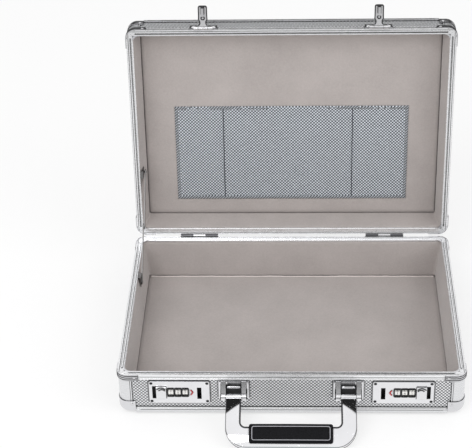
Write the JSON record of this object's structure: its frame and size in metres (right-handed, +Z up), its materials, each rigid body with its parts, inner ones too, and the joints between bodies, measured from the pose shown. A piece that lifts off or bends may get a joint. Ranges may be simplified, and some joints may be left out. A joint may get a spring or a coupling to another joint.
{
  "type": "laptop hard case",
  "caption": "Aluminium-framed hard case, open, with padded tray and lid, pocket, number locks, hasps, folding handle, hinges and a folding stay.",
  "frame": {"origin": "on the resting plane, under the middle of the tray's footprint", "axes": "+X across the case, -Y towards the handle side, +Z up from the table; drawn with the lid open on its stay"},
  "size_m": [0.4592, 0.4662, 0.4278],
  "materials": {
    "extrusion": "satin anodised",
    "pressed_corner": "bright plated",
    "textured_board": "fine diamond emboss",
    "hardware": "bright plated",
    "dark_metal": "blackened",
    "wheel": "white number wheels with black figures",
    "grip": "soft black",
    "lining": "brushed short pile",
    "pocket": "open weave",
    "hem": "flat weave",
    "lock_body": "zinc"
  },
  "bodies": {
    "tray": {"bottom_board": "textured_board", "base_front_board": "textured_board", "base_rear_board": "textured_board", "base_side_boards": "textured_board", "base_rim_rails": "extrusion", "base_edge_rails": "extrusion", "base_corner_posts": "extrusion", "base_rim_corners": "pressed_corner", "base_ball_corners": "pressed_corner", "base_rivets": "pressed_corner", "base_wall_lining": "lining", "base_floor_lining": "lining", "hinge_base_leaves": "hardware", "hinge_pins": "dark_metal", "lock_plate_left": "hardware", "lock_plate_right": "hardware", "lock_case_left": "lock_body", "lock_case_right": "lock_body", "dial_spindle_left": "dark_metal", "dial_spindle_right": "dark_metal", "lock_screws": "dark_metal", "handle_bracket_left": "hardware", "handle_bracket_right": "hardware", "handle_pins": "dark_metal", "stay_base_bracket": "hardware"},
    "lid": {"top_board": "textured_board", "lid_front_board": "textured_board", "lid_rear_board": "textured_board", "lid_side_boards": "textured_board", "lid_rim_rails": "extrusion", "lid_edge_rails": "extrusion", "lid_corner_posts": "extrusion", "lid_rim_corners": "pressed_corner", "lid_ball_corners": "pressed_corner", "lid_rivets": "pressed_corner", "lid_wall_lining": "lining", "lid_panel_lining": "lining", "lid_pocket": "pocket", "pocket_hems": "hem", "hinge_lid_leaves": "hardware", "hasp_plate_left": "hardware", "hasp_plate_right": "hardware", "hasp_pins": "dark_metal", "stay_lid_bracket": "hardware"},
    "handle": {"handle_frame": "hardware", "handle_grip": "grip"},
    "hasp_l": {"hasp_left": "hardware"},
    "hasp_r": {"hasp_right": "hardware"},
    "slide_l": {"thumb_slide_left": "hardware"},
    "slide_r": {"thumb_slide_right": "hardware"},
    "stay_lower": {"stay_lower_link": "hardware"},
    "stay_upper": {"stay_upper_link": "hardware"},
    "wheel_left_1": {"dial_left_1": "wheel"},
    "wheel_left_2": {"dial_left_2": "wheel"},
    "wheel_left_3": {"dial_left_3": "wheel"},
    "wheel_right_1": {"dial_right_1": "wheel"},
    "wheel_right_2": {"dial_right_2": "wheel"},
    "wheel_right_3": {"dial_right_3": "wheel"}
  },
  "joints": [
    {"name": "lid_hinge", "type": "hinge", "parent": "tray", "child": "lid", "pos_m": [0, 0.1637, 0.0674], "axis": [1, 0, 0], "range_deg": [0, 94.6]},
    {"name": "stay_lower_pivot", "type": "hinge", "parent": "tray", "child": "stay_lower", "pos_m": [-0.2135, 0.0637, 0.0554], "axis": [1, 0, 0], "range_deg": [-34.26, 0]},
    {"name": "stay_upper_pivot", "type": "hinge", "parent": "lid", "child": "stay_upper", "pos_m": [-0.212, 0.18368, 0.16612], "axis": [1, 0, 0], "range_deg": [0, 34.26]},
    {"name": "handle_pivot", "type": "hinge", "parent": "tray", "child": "handle", "pos_m": [0, -0.169, 0.0372], "axis": [-1, 0, 0], "range_deg": [-47, 103]},
    {"name": "hasp_left_pivot", "type": "hinge", "parent": "lid", "child": "hasp_l", "pos_m": [-0.1204, 0.18724, 0.39487], "axis": [1, 0, 0], "range_deg": [0, 90], "stiffness_Nm_per_rad": 0.004},
    {"name": "hasp_right_pivot", "type": "hinge", "parent": "lid", "child": "hasp_r", "pos_m": [0.1204, 0.18724, 0.39487], "axis": [1, 0, 0], "range_deg": [0, 90], "stiffness_Nm_per_rad": 0.004},
    {"name": "thumb_slide_left_travel", "type": "slide", "parent": "tray", "child": "slide_l", "axis": [-1, 0, 0], "range_m": [0, 0.005], "stiffness_N_per_m": 300},
    {"name": "thumb_slide_right_travel", "type": "slide", "parent": "tray", "child": "slide_r", "axis": [1, 0, 0], "range_m": [0, 0.005], "stiffness_N_per_m": 300},
    {"name": "wheel_left_1_turn", "type": "hinge", "parent": "tray", "child": "wheel_left_1", "pos_m": [-0.139, -0.1576, 0.0387], "axis": [1, 0, 0], "continuous": true},
    {"name": "wheel_left_2_turn", "type": "hinge", "parent": "tray", "child": "wheel_left_2", "pos_m": [-0.1484, -0.1576, 0.0387], "axis": [1, 0, 0], "continuous": true},
    {"name": "wheel_left_3_turn", "type": "hinge", "parent": "tray", "child": "wheel_left_3", "pos_m": [-0.1578, -0.1576, 0.0387], "axis": [1, 0, 0], "continuous": true},
    {"name": "wheel_right_1_turn", "type": "hinge", "parent": "tray", "child": "wheel_right_1", "pos_m": [0.139, -0.1576, 0.0387], "axis": [1, 0, 0], "continuous": true},
    {"name": "wheel_right_2_turn", "type": "hinge", "parent": "tray", "child": "wheel_right_2", "pos_m": [0.1484, -0.1576, 0.0387], "axis": [1, 0, 0], "continuous": true},
    {"name": "wheel_right_3_turn", "type": "hinge", "parent": "tray", "child": "wheel_right_3", "pos_m": [0.1578, -0.1576, 0.0387], "axis": [1, 0, 0], "continuous": true}
  ],
  "couplings": [
    {"joint": "stay_lower_pivot", "follows": "lid_hinge", "ratio": -0.36201},
    {"joint": "stay_upper_pivot", "follows": "lid_hinge", "ratio": 0.36201}
  ]
}
